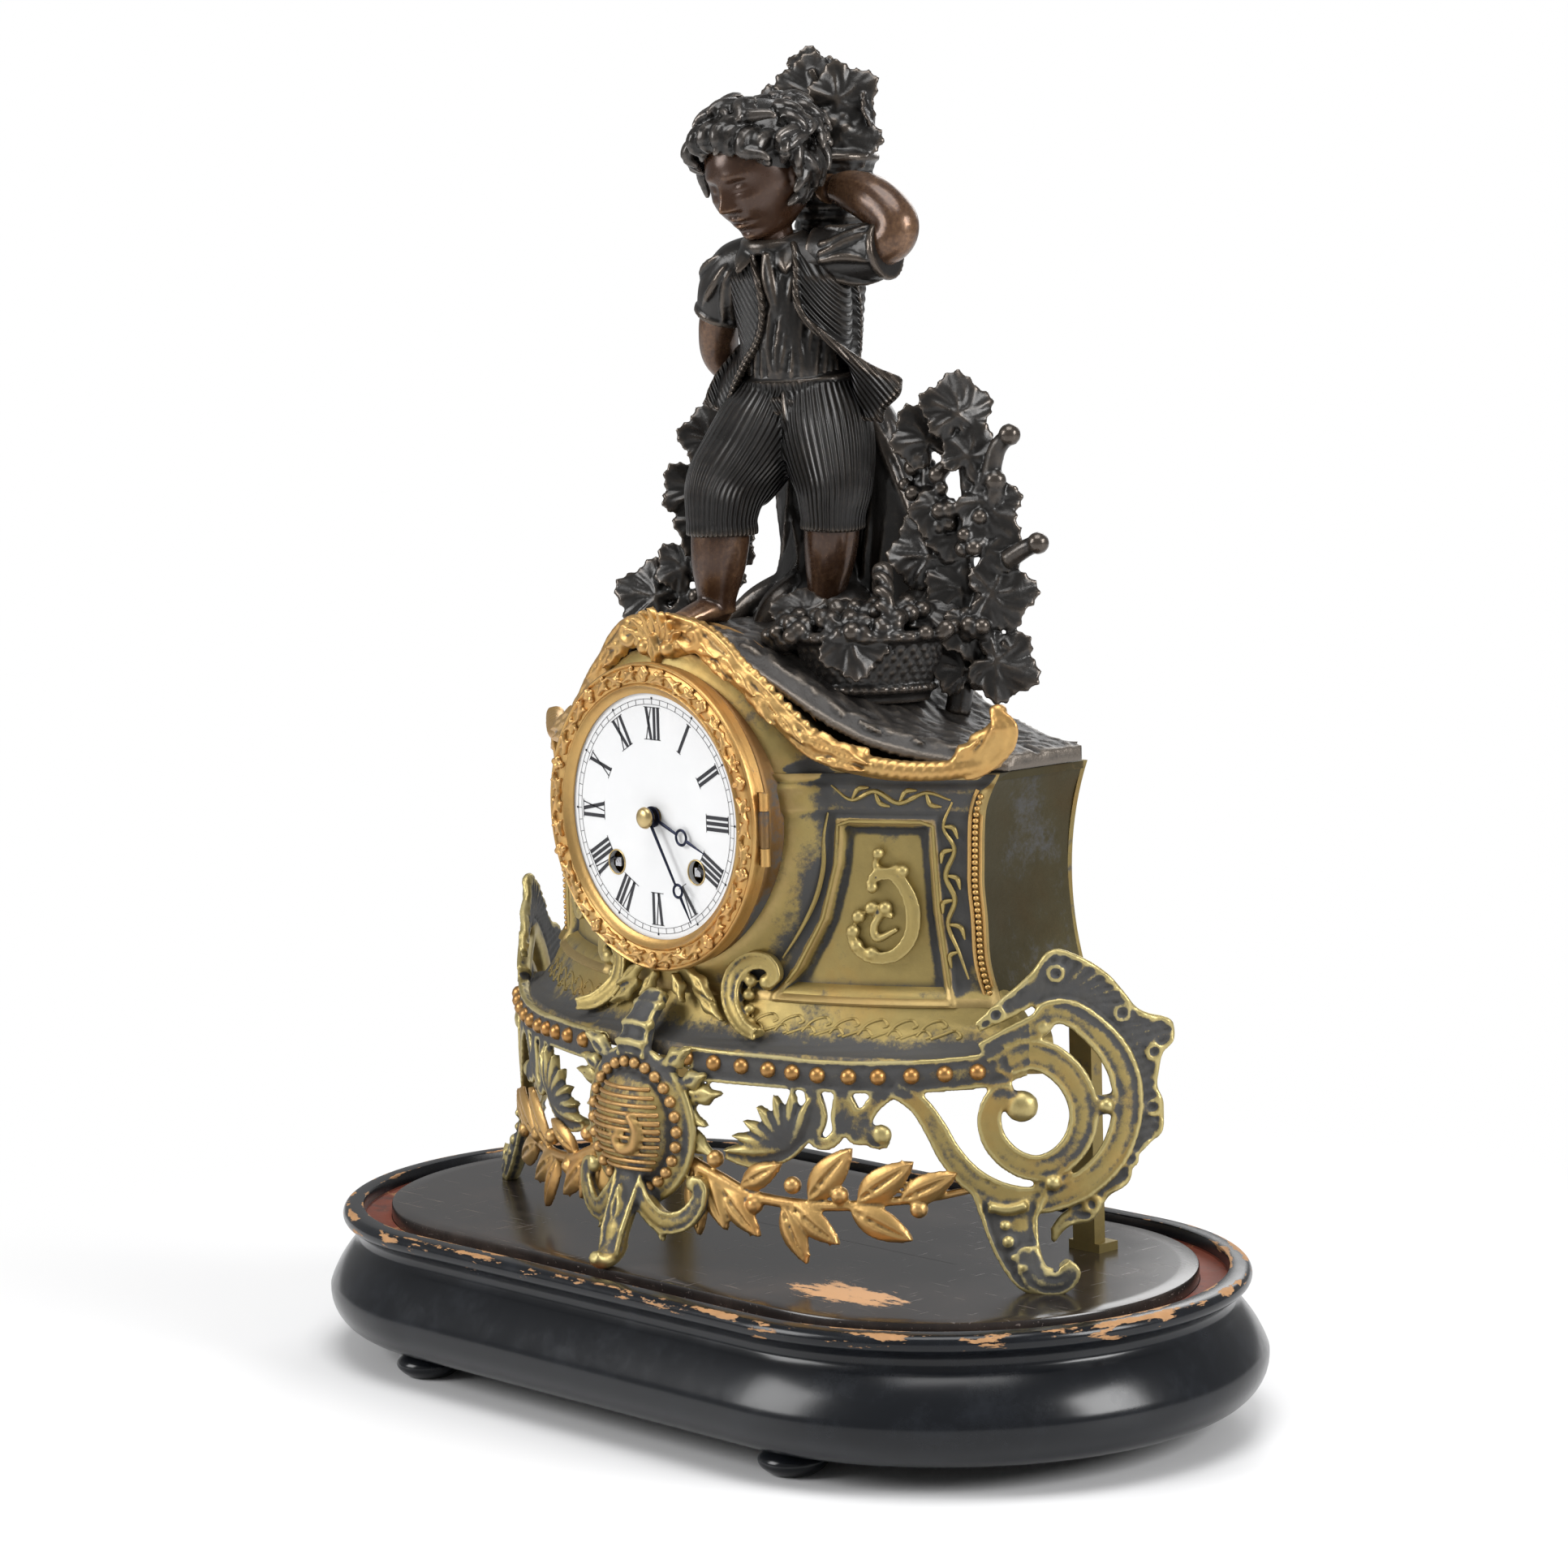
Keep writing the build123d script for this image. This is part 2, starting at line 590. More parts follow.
with BuildPart() as apron:
    add(apron_plate.part)
    for step in range(BEAD_COUNT):
        turn = math.radians(6.5 + 38.0 * step / (BEAD_COUNT - 1))
        x = (APRON_BOW_RADIUS + 0.6) * math.sin(turn)
        y = BOW_CENTRE_Y - (APRON_BOW_RADIUS + 0.6) * math.cos(turn)
        with Locations((x, y, deck_bottom - RAIL_HEIGHT / 2), (-x, y, deck_bottom - RAIL_HEIGHT / 2)):
            Sphere(BEAD_RADIUS)
    with BuildSketch(front_plane(cartouche_y + 6.0, 0, cartouche_z - dial_z)):
        Ellipse(23.0, 26.0)
    with BuildSketch(front_plane(cartouche_y - 7.0, 0, cartouche_z - dial_z)):
        Ellipse(18.0, 21.0)
    with BuildSketch(front_plane(cartouche_y - 12.0, 0, cartouche_z - dial_z)):
        Ellipse(9.0, 11.0)
    loft()
    add(leg_right)
    add(mirror(leg_right, about=Plane.YZ, mode=Mode.PRIVATE))
    add(centre_foot)
    with Locations((0, 0, board_top)):
        Box(400, 400, 30, align=(Align.CENTER, Align.CENTER, Align.MAX), mode=Mode.SUBTRACT)
    with BuildSketch(Plane.XY.offset(deck_bottom)):
        with Locations((0, CASE_BACK_Y)):
            Rectangle(2 * DECK_HALF, 120, align=(Align.CENTER, Align.MAX))
    extrude(amount=DECK_HEIGHT, mode=Mode.SUBTRACT)
save(apron, "apron")

# Ornament laid on the case

panel_z = deck_top + 34.0

with BuildSketch(bow_plane(PANEL_FACING, CASE_BOW_RADIUS)) as panel_half:
    with Locations((-3.0, panel_z)):
        Circle(14.0)
        Circle(10.5, mode=Mode.SUBTRACT)
    with Locations((17.0, panel_z)):
        Rectangle(4.0, 62.0)
    with Locations((-3.0, panel_z - 31.0)):
        Rectangle(44.0, 4.0)
    with Locations((-30.0, panel_z - 29.0)):
        Circle(7.0)
        Circle(3.0, mode=Mode.SUBTRACT)
    for berry in range(5):
        swing = math.radians(60 - 45 * berry)
        with Locations((-3.0 + 6.0 * math.cos(swing), panel_z + 6.0 * math.sin(swing))):
            Circle(2.4)

with BuildPart() as panel_scrolls:
    extrude(panel_half.sketch, amount=25, both=True)
    add(
        bow_shell(CASE_BOW_RADIUS + ORNAMENT_RELIEF, CASE_BOW_RADIUS, deck_top, shoulder_z),
        mode=Mode.INTERSECT,
    )
    rod((0, 0), bezel_front, 0, DRUM_RADIUS + 0.5, mode=Mode.SUBTRACT)
    mirror(about=Plane.YZ)
save(panel_scrolls, "panel_scrolls")

rope_y = BOW_CENTRE_Y - CASE_BOW_RADIUS
with BuildPart() as top_trim:
    trim_bow = CASE_BOW_RADIUS + ROPE_RADIUS
    with BuildLine() as rope_path:
        CenterArc((0, BOW_CENTRE_Y, shoulder_z), trim_bow, -62, 17)
    with BuildSketch(Plane(origin=rope_path.line @ 0, z_dir=rope_path.line % 0)):
        Circle(ROPE_RADIUS)
    sweep(path=rope_path.line)
    corner = bow_plane(43.0, CASE_BOW_RADIUS)
    with BuildSketch(corner):
        add(lens_leaf((2.0, shoulder_z + 8.0), 80, 30.0, 14.0))
    extrude(amount=5.0)
    mirror(about=Plane.YZ)
    with BuildSketch(front_plane(rope_y + 1.0, 0, crown_z - dial_z)):
        with BuildLine():
            Line((-15, -6), (15, -6))
            ThreePointArc((15, -6), (0, 11), (-15, -6))
        make_face()
    extrude(amount=5.0)
    add(case_body.part, mode=Mode.SUBTRACT)
save(top_trim, "top_trim")

# Figure group

figure_foot = mound_top


def on_figure(left, forward, rise):
    """A place by the figure's own left, forward and height above its footing."""
    turn = math.radians(FIGURE_TURN)
    x = FIGURE_X + left * math.cos(turn) + forward * math.sin(turn)
    y = FIGURE_Y + left * math.sin(turn) - forward * math.cos(turn)
    return (x, y, figure_foot + rise)


def figure_limb(*stations):
    """A tapered limb through (left, forward, rise, radius) stations."""
    return tapered([(on_figure(*station[:3]), station[3]) for station in stations])


with BuildPart() as mound:
    with BuildSketch(Plane(origin=(0, CASE_BACK_Y - 2, 0), x_dir=(1, 0, 0), z_dir=(0, -1, 0))):
        with BuildLine():
            half_ledge = 0.76 * CASE_SHOULDER_HALF
            rim = (CASE_SHOULDER_HALF + 2.0, shoulder_z - 1.0)
            knoll = (0.48 * CASE_SHOULDER_HALF, shoulder_z + 0.45 * CASE_CROWN_RISE + MOUND_THICKNESS)
            Line((0, shoulder_z - 1.0), rim)
            Line(rim, (rim[0], shoulder_z + MOUND_THICKNESS))
            Spline(
                (rim[0], shoulder_z + MOUND_THICKNESS),
                (half_ledge, shoulder_z + MOUND_THICKNESS + 2.0),
                knoll,
                (0, mound_top),
                tangents=[(-1, 0.3), (-1, 0)],
            )
            Line((0, mound_top), (0, shoulder_z - 1.0))
        make_face()
        mirror(about=Plane.YZ)
    extrude(amount=120)
    add(bow_shell(MOUND_BOW_RADIUS, 1.0, 0, mound_top + 1), mode=Mode.INTERSECT)
    with BuildSketch(rear_plane):
        add(case_outline(Plane.XY))
    extrude(amount=case_length, mode=Mode.SUBTRACT)
    with Locations((0, 0, shoulder_z)):
        Box(400, 400, 20, align=(Align.CENTER, Align.CENTER, Align.MAX), mode=Mode.SUBTRACT)
    with Locations((FIGURE_X, FIGURE_Y, crown_z)):
        Cylinder(STUD_RADIUS + FIT, 30, mode=Mode.SUBTRACT)
save(mound, "mound")

with BuildPart() as ground:
    extrude(case_outer_face, amount=case_length)
    add(mound.part)

stump_place = on_figure(2, -10, 0)
with BuildPart() as tree_stump:
    with BuildSketch(Plane.XY.offset(crown_z - 14)):
        with Locations((stump_place[0], stump_place[1] + 2)):
            Ellipse(19, 13)
    with BuildSketch(Plane.XY.offset(figure_foot + 12)):
        with Locations((stump_place[0], stump_place[1] + 2)):
            Ellipse(14, 11)
    with BuildSketch(Plane.XY.offset(figure_foot + 58)):
        with Locations((stump_place[0] + 3, stump_place[1] + 4)):
            Ellipse(15, 12)
    loft()
    add(ground.part, mode=Mode.SUBTRACT)
    with Locations((FIGURE_X, FIGURE_Y, crown_z)):
        Cylinder(STUD_RADIUS + FIT, 60, mode=Mode.SUBTRACT)

torso_levels = ((54, 17, 13, 0), (77, 14.5, 11, 0), (103, 19, 13, 1), (117, 20.5, 10, 2), (126, 9, 7.5, 3))
with BuildPart() as figure_torso:
    for rise, half_width, half_depth, forward in torso_levels:
        centre = on_figure(-2.0 * forward, forward, rise)
        side = Vector(*on_figure(1, 0, 0)) - Vector(*on_figure(0, 0, 0))
        with BuildSketch(Plane(origin=centre, x_dir=side, z_dir=(0, 0, 1))):
            Ellipse(half_width, half_depth)
    loft()
    for tail in (-1, 1):
        flap = figure_limb((11 * tail, 8, 84, 5.0), (16 * tail, 9, 70, 4.5), (20 * tail, 9, 62, 2.0))
        add(flap)

leg_right_limb = figure_limb(
    (-9, 4, 60, 11.0), (-15, 14, 48, 10.0), (-18, 21, 40, 8.5), (-17.5, 23, 26, 7.0), (-17, 26, 7, 4.6)
)
leg_left_limb = figure_limb(
    (9, 2, 60, 11.0), (16, 8, 48, 10.0), (20, 12, 39, 8.5), (17, 8, 24, 7.0), (13, 6, 6, 4.6)
)
foot_right = figure_limb((-17, 25, 4, 4.8), (-15, 33, 2, 4.2), (-13, 39, 1, 3.0))
foot_left = figure_limb((13, 5, 3, 4.8), (15, 13, -1, 4.2), (17, 19, -3, 3.0))
with BuildPart() as figure_legs:
    add(leg_right_limb)
    add(leg_left_limb)
    add(foot_right)
    add(foot_left)
    add(figure_limb((-17.6, 23, 22, 8.4), (-17.5, 23, 27, 8.8)))
    add(figure_limb((16.6, 7.6, 20, 8.4), (17.2, 8.3, 25, 8.8)))
    add(figure_torso.part, mode=Mode.SUBTRACT)
    add(ground.part, mode=Mode.SUBTRACT)

skull = (-7.5, 9, 147)
with BuildPart() as figure_head:
    with Locations(on_figure(*skull)):
        Sphere(17.5)
    with Locations(on_figure(skull[0], skull[1] + 3.0, skull[2] - 9.0)):
        Sphere(12.0)
    with Locations(on_figure(skull[0], skull[1] - 4.0, skull[2] + 5.0)):
        Sphere(19.0)
    add(figure_limb((-7.0, 3, 120, 8.0), (-7.0, 5, 134, 7.5)))
    bridge = on_figure(skull[0], skull[1] + 15.5, skull[2])
    nose_tip = on_figure(skull[0], skull[1] + 18.0, skull[2] - 8.0)
    add(tapered(((bridge, 1.6), (nose_tip, 3.0))))
    add(figure_torso.part, mode=Mode.SUBTRACT)

with BuildPart() as figure_right_arm:
    add(figure_limb((-21, 3, 115, 7.5), (-29, -8, 99, 6.6), (-34, -18, 86, 5.6)))
    add(figure_limb((-34, -18, 86, 5.6), (-26, -17, 79, 4.8), (-19, -13, 75, 5.0)))
    add(figure_torso.part, mode=Mode.SUBTRACT)
    largest(figure_right_arm)

with BuildPart() as figure_left_arm:
    add(figure_limb((19, -1, 118, 7.5), (29, 0, 122, 6.8), (38, 1, 127, 5.6)))
    add(figure_limb((38, 1, 127, 5.6), (26, -4, 134, 4.9), (12, -9, 141, 5.2)))
    add(figure_torso.part, mode=Mode.SUBTRACT)
    add(figure_head.part, mode=Mode.SUBTRACT)
    largest(figure_left_arm)

hod_low = on_figure(4, -20, 80)
hod_top = on_figure(9, -21, 158)
with BuildPart() as hod:
    add(tapered(((hod_low, 12.0), (on_figure(7, -21, 120), 14.5), (hod_top, 17.0)), round_ends=False))
    for share, radius in HOD_HOOPS:
        hoop = Vector(*hod_low) + (Vector(*hod_top) - Vector(*hod_low)) * share
        hoop_axis = (Vector(*hod_top) - Vector(*hod_low)).normalized()
        with BuildSketch(Plane(origin=hoop, z_dir=hoop_axis)):
            Circle(radius)
        extrude(amount=HOD_HOOP_WIDTH)
    for leaf in range(5):
        turn = math.radians(72 * leaf + 15)
        with BuildSketch(
            Plane(
                origin=(hod_top[0] + 9 * math.cos(turn), hod_top[1] + 9 * math.sin(turn), hod_top[2] + 12),
                x_dir=(-math.sin(turn), math.cos(turn), 0),
                z_dir=(math.cos(turn), math.sin(turn), 0.5),
            )
        ):
            add(lens_leaf((0, 0), 90, 32, 17))
        extrude(amount=1.5, both=True)
    for neighbour in (figure_torso, figure_head, figure_left_arm, figure_right_arm):
        add(neighbour.part, mode=Mode.SUBTRACT)
    largest(hod)

with tree_stump:
    for cutter in (figure_torso, figure_legs, figure_right_arm, hod):
        add(cutter.part, mode=Mode.SUBTRACT)
    largest(tree_stump)
save(figure_torso, "figure_torso")
save(figure_legs, "figure_legs")
save(figure_head, "figure_head")
save(figure_right_arm, "figure_right_arm")
save(figure_left_arm, "figure_left_arm")
save(hod, "hod")
save(tree_stump, "tree_stump")

with BuildPart() as figure_fixing:
    nut_top = crown_z - CASE_WALL - 0.9
    with Locations((FIGURE_X, FIGURE_Y, nut_top - 6.0)):
        Cylinder(STUD_RADIUS, mound_top - nut_top + 5.0, align=(Align.CENTER, Align.CENTER, Align.MIN))
    with BuildSketch(Plane.XY.offset(nut_top)):
        with Locations((FIGURE_X, FIGURE_Y)):
            RegularPolygon(5.5, 6)
    extrude(amount=-5.0)
save(figure_fixing, "figure_fixing")

basket_low = shoulder_z + 21.0
basket_x = BASKET_SHARE * CASE_SHOULDER_HALF
basket_levels = ((-14.0, 21.0, 13.0), (BASKET_HEIGHT - 2.0, 26.0, 17.0), (BASKET_HEIGHT, 26.5, 17.5))
heap_top = BASKET_HEIGHT + 9.0
heap_levels = ((BASKET_HEIGHT, 23.0, 15.0), (heap_top - 2.0, 16.0, 10.0), (heap_top, 6.0, 4.0))
with BuildPart() as fruit_basket:
    for levels in (basket_levels, heap_levels):
        for rise, half_length, half_width in levels:
            with BuildSketch(Plane.XY.offset(basket_low + rise)):
                with Locations((basket_x, BASKET_Y)):
                    Ellipse(half_length, half_width, rotation=BASKET_TURN)
        loft()
    add(ground.part, mode=Mode.SUBTRACT)
    add(figure_legs.part, mode=Mode.SUBTRACT)
    largest(fruit_basket)
save(fruit_basket, "fruit_basket")


def leaf_outline(radius):
    """The corners of a five-lobed vine leaf with toothed edges, its stalk at the bottom."""
    points = []
    for turn, reach in LEAF_LOBES:
        for shift, share in LEAF_TEETH:
            points.append(polar(radius * reach * share, 90 + turn + shift))
    return points


def vine(stem, stem_radius, leaves, berries):
    """A vine shoot as one casting: leaves and berries sit at shares of the stem's length."""
    with BuildPart() as shoot:
        with BuildLine() as path:
            Spline(*stem)
        with BuildSketch(Plane(origin=path.line @ 0, z_dir=path.line % 0)):
            Circle(stem_radius)
        sweep(path=path.line)
        for share, azimuth, radius in leaves:
            turn = math.radians(azimuth)
            facing = (math.sin(turn), -math.cos(turn), 0.35)
            across = (math.cos(turn), math.sin(turn), 0)
            with BuildSketch(Plane(origin=path.line @ share, x_dir=across, z_dir=facing)):
                with BuildLine():
                    Polyline(*leaf_outline(radius), close=True)
                make_face()
            extrude(amount=1.3, both=True)
        for share, shift, radius in berries:
            with Locations((path.line @ share) + Vector(*shift)):
                Sphere(radius)
        add(ground.part, mode=Mode.SUBTRACT)
        add(fruit_basket.part, mode=Mode.SUBTRACT)
    largest(shoot)
    return shoot


vine_foot = shoulder_z + 8.0
vine_right = vine(
    (
        (0.7 * CASE_SHOULDER_HALF, 28, vine_foot),
        (0.85 * CASE_SHOULDER_HALF, 30, vine_foot + 34),
        (0.755 * CASE_SHOULDER_HALF, 30, vine_foot + 70),
        (0.623 * CASE_SHOULDER_HALF, 30, vine_foot + 114),
    ),
    2.2,
    ((0.22, 40, 15), (0.38, 50, 14), (0.58, 45, 16), (0.8, 40, 14), (0.97, 50, 11)),
    ((0.5, (-5, -4, -2), 6.5), (0.45, (-8, -5, -6), 6.0), (0.42, (-9, -5, -13), 5.0)),
)
save(vine_right, "vine_right")

vine_left = vine(
    (
        (-0.547 * CASE_SHOULDER_HALF, 22, vine_foot),
        (-0.585 * CASE_SHOULDER_HALF, 16, vine_foot + 26),
        (-0.49 * CASE_SHOULDER_HALF, 22, vine_foot + 62),
        (-0.472 * CASE_SHOULDER_HALF, 25, vine_foot + 96),
    ),
    2.2,
    ((0.3, 30, 15), (0.55, 40, 13), (0.8, 35, 12), (0.97, 45, 10)),
    ((0.2, (4, -3, 0), 6.0), (0.14, (3, -3, -3), 5.0)),
)
save(vine_left, "vine_left")

# Dial side

hinge_y = dial_ring_front - 0.2

with BuildPart() as dial_ring:
    rod((0, 0), dial_ring_front, DRUM_FRONT_Y, DRUM_RADIUS)
    rod((0, 0), dial_ring_front, dial_back, DIAL_RADIUS + BEZEL_GAP, mode=Mode.SUBTRACT)
    rod((0, 0), dial_back, DRUM_FRONT_Y, DIAL_RING_BORE, mode=Mode.SUBTRACT)
    for angle in (30, 150, 270):
        turn = math.radians(angle)
        place = (POST_RING * math.cos(turn), POST_RING * math.sin(turn))
        rod(place, DRUM_FRONT_Y - 1.0, front_plate_face, POST_RADIUS)
    for low in (-KNUCKLE_HALF - 0.2 - KNUCKLE_LENGTH, KNUCKLE_HALF + 0.2):
        with Locations((BEZEL_HINGE_X, hinge_y, dial_z + low)):
            Cylinder(KNUCKLE_RADIUS, KNUCKLE_LENGTH, align=(Align.CENTER, Align.CENTER, Align.MIN))
        with Locations((BEZEL_HINGE_X, hinge_y + 0.3, dial_z + low)):
            Box(6.0, 1.3, KNUCKLE_LENGTH, align=(Align.MAX, Align.MIN, Align.MIN))
        with Locations((BEZEL_HINGE_X, hinge_y, dial_z + low)):
            on_low_end = (Align.CENTER, Align.CENTER, Align.MIN)
            Cylinder(PIN_RADIUS, KNUCKLE_LENGTH, align=on_low_end, mode=Mode.SUBTRACT)
save(dial_ring, "dial_ring")

going = (BARREL_X, -BARREL_DROP)
strike = (-BARREL_X, -BARREL_DROP)
centre = (0.0, 0.0)

with BuildPart() as dial:
    rod(centre, dial_front, dial_back, DIAL_RADIUS)
    rod(centre, dial_front, dial_back, HOUR_PIPE_RADIUS + 0.6, mode=Mode.SUBTRACT)
    for place in (going, strike):
        rod(place, dial_front, dial_back, WIND_HOLE_RADIUS, mode=Mode.SUBTRACT)
save(dial, "dial")

with BuildPart() as bezel:
    bezel_seat = DIAL_RADIUS + BEZEL_GAP + 0.1
    lift = dial_ring_front - dial_front + 0.2
    with BuildSketch(turned_plane(bezel_back)):
        with BuildLine():
            Polyline(
                (BEZEL_RADIUS, -2.5),
                (BEZEL_RADIUS, 0.0),
                (bezel_seat, 0.0),
                (bezel_seat, -lift),
                (BEZEL_SIGHT_RADIUS, -lift),
                (BEZEL_SIGHT_RADIUS, -lift - 1.4),
                (BEZEL_SIGHT_RADIUS + 2.0, -4.6),
            )
            ThreePointArc(
                (BEZEL_SIGHT_RADIUS + 2.0, -4.6),
                ((BEZEL_SIGHT_RADIUS + BEZEL_RADIUS) / 2 + 0.5, -BEZEL_DEPTH),
                (BEZEL_RADIUS, -2.5),
            )
        make_face()
    revolve(axis=turning_axis())
    with Locations((BEZEL_HINGE_X, hinge_y, dial_z)):
        Cylinder(KNUCKLE_RADIUS, 2 * KNUCKLE_HALF)
    with Locations((BEZEL_HINGE_X, bezel_back, dial_z)):
        Box(5.0, 1.4, 2 * KNUCKLE_HALF, align=(Align.MAX, Align.MAX, Align.CENTER))
    with Locations((BEZEL_HINGE_X, hinge_y, dial_z)):
        Cylinder(PIN_RADIUS + FIT, 2 * KNUCKLE_HALF, mode=Mode.SUBTRACT)
save(bezel, "bezel")

with BuildPart() as hinge_pins:
    with Locations((BEZEL_HINGE_X, hinge_y, dial_z)):
        Cylinder(PIN_RADIUS, 2 * (KNUCKLE_HALF + 0.2 + KNUCKLE_LENGTH))
    with Locations((DOOR_RADIUS + 4.0, door_hinge_y, dial_z)):
        Cylinder(PIN_RADIUS, 28.0)
save(hinge_pins, "hinge_pins")

# Movement places, as (x, z) from the dial centre


def mesh(module, wheel_teeth, pinion_teeth):
    """The distance between the centres of a wheel and its pinion."""
    return module * (wheel_teeth + pinion_teeth) / 2


barrel_mesh = mesh(TRAIN_MODULE, BARREL_TEETH, SECOND_PINION)
centre_mesh = mesh(TRAIN_MODULE, WHEEL_TEETH, CENTRE_PINION)
third_mesh = mesh(TRAIN_MODULE, WHEEL_TEETH, FINE_PINION)
fine_mesh = mesh(FINE_MODULE, WHEEL_TEETH, FINE_PINION)
motion_mesh = mesh(TRAIN_MODULE, MINUTE_TEETH, CANNON_TEETH)
barrel_reach = math.hypot(*going)
along = (centre_mesh**2 - barrel_mesh**2 + barrel_reach**2) / (2 * barrel_reach)
across = math.sqrt(centre_mesh**2 - along**2)
second = (
    (along * going[0] - across * going[1]) / barrel_reach,
    (along * going[1] + across * going[0]) / barrel_reach,
)
strike_second = (-second[0], second[1])
third = polar(third_mesh, 73)
escape = polar(fine_mesh, 116, third)
pallet = (0.0, PALLET_RISE)
locking = polar(centre_mesh, 105, strike_second)
fly_place = polar(fine_mesh, 200, locking)
minute_place = (0.0, motion_mesh)
hammer_place = (HAMMER_X, HAMMER_RISE)
bell_place = (BELL_X, -BELL_DROP)


def wheel(teeth, module, place, y_front, y_back, toward, gap=False, spokes=0):
    """Add a straight-flanked wheel or pinion with a tooth, or a gap, facing another place."""
    pitch = 360 / teeth
    phase = math.degrees(math.atan2(toward[1] - place[1], toward[0] - place[0])) + (pitch / 2 if gap else 0)
    tip = module * (teeth / 2 + ADDENDUM)
    root = module * (teeth / 2 - DEDENDUM)
    corners = ((root, -TOOTH_ROOT), (tip, -TOOTH_TIP), (tip, TOOTH_TIP), (root, TOOTH_ROOT))
    points = [polar(r, phase + (tooth + share) * pitch) for tooth in range(teeth) for r, share in corners]
    with BuildSketch(front_plane(y_back, *place)) as outline:
        with BuildLine():
            Polyline(*points, close=True)
        make_face()
        for spoke in range(spokes):
            window = [polar(0.8 * root, spoke * 360 / spokes + share) for share in (-27, 0, 27)]
            window += [polar(0.34 * root, spoke * 360 / spokes + share) for share in (20, -20)]
            with BuildLine():
                Polyline(*window, close=True)
            make_face(mode=Mode.SUBTRACT)
    extrude(outline.sketch, amount=y_back - y_front)


def pointed_wheel(teeth, tip, root, lean, place, y_front, y_back):
    """Add a wheel of pointed teeth that lean one way, for an escape or ratchet wheel."""
    pitch = 360 / teeth
    points = []
    for tooth in range(teeth):
        points.append(polar(root, tooth * pitch))
        points.append(polar(tip, (tooth + lean) * pitch))
    with BuildSketch(front_plane(y_back, *place)) as outline:
        with BuildLine():
            Polyline(*points, close=True)
        make_face()
    extrude(outline.sketch, amount=y_back - y_front)


# Plates and what holds them

train_pivots = (second, strike_second, third, escape, locking, fly_place, pallet, hammer_place, centre)
minute_stud_front = dial_back + 0.6

for plate_name, plate_front in (("front_plate", front_plate_face), ("back_plate", back_plate_inner)):
    with BuildPart() as plate:
        plate_back = plate_front + PLATE_THICKNESS
        rod(centre, plate_front, plate_back, PLATE_RADIUS)
        for place in train_pivots:
            rod(place, plate_front, plate_back, ARBOR_RADIUS + FIT, mode=Mode.SUBTRACT)
        for place in (going, strike):
            rod(place, plate_front, plate_back, WIND_ARBOR_RADIUS + FIT, mode=Mode.SUBTRACT)
        if plate_name == "front_plate":
            rod(minute_place, minute_stud_front, front_plate_face, MINUTE_STUD_RADIUS)
    save(plate, plate_name)

with BuildPart() as plate_pillars:
    for angle in PILLAR_ANGLES:
        rod(polar(PILLAR_RING, angle), FRONT_PLATE_INNER_Y, back_plate_inner, PILLAR_RADIUS)
save(plate_pillars, "plate_pillars")

with BuildPart() as movement_straps:
    strap_length = CASE_BACK_Y - DRUM_FRONT_Y
    for side in (-1, 1):
        with Locations((side * (STRAP_X + STRAP_THICKNESS / 2), DRUM_FRONT_Y + strap_length / 2, dial_z)):
            Box(STRAP_THICKNESS, strap_length, STRAP_WIDTH)
save(movement_straps, "movement_straps")

# Hands and motion work

hour_hand_y = dial_front - 1.0
minute_hand_y = dial_front - 2.9
cannon_front = minute_hand_y - 0.8
arbor_front = cannon_front - 0.9


def hand(y_back, angle, length, eye_share, eye_radius, hub, bore):
    """Add a flat hand with a round eye on its shaft, turned clockwise from twelve."""
    direction = 90 - angle
    eye = polar(length * eye_share, direction)
    with BuildSketch(front_plane(y_back)) as outline:
        Circle(hub)
        with BuildLine():
            foot = [polar(1.1, direction + 90), polar(1.1, direction - 90)]
            neck = [polar(0.7, direction - 90, eye), polar(0.7, direction + 90, eye)]
            Polyline(*foot, *neck, close=True)
        make_face()
        with Locations(eye):
            Circle(eye_radius)
        with BuildLine():
            shoulders = [polar(1.3, direction + 90, eye), polar(1.3, direction - 90, eye)]
            Polyline(*shoulders, polar(length, direction), close=True)
        make_face()
        with Locations(eye):
            Circle(eye_radius - EYE_BAND, mode=Mode.SUBTRACT)
        Circle(bore, mode=Mode.SUBTRACT)
    extrude(outline.sketch, amount=HAND_THICKNESS)


with BuildPart() as hour_hand:
    hour_hand_back = hour_hand_y + HAND_THICKNESS
    hour_shape = (HOUR_HAND_LENGTH, HOUR_EYE_SHARE, HOUR_EYE_RADIUS, HOUR_HUB_RADIUS)
    hand(hour_hand_back, HOUR_HAND_ANGLE, *hour_shape, HOUR_PIPE_RADIUS)
save(hour_hand, "hour_hand")

with BuildPart() as minute_hand:
    minute_hand_back = minute_hand_y + HAND_THICKNESS
    minute_shape = (MINUTE_HAND_LENGTH, MINUTE_EYE_SHARE, MINUTE_EYE_RADIUS, MINUTE_HUB_RADIUS)
    hand(minute_hand_back, MINUTE_HAND_ANGLE, *minute_shape, CANNON_RADIUS)
save(minute_hand, "minute_hand")

hour_wheel_back = dial_back + 1.5
with BuildPart() as hour_wheel:
    wheel(HOUR_TEETH, HOUR_MODULE, centre, hour_wheel_back - 0.9, hour_wheel_back, minute_place)
    rod(centre, hour_hand_y - 0.3, hour_wheel_back, HOUR_PIPE_RADIUS)
    rod(centre, hour_hand_y - 0.3, hour_wheel_back, CANNON_RADIUS + FIT, mode=Mode.SUBTRACT)
save(hour_wheel, "hour_wheel")

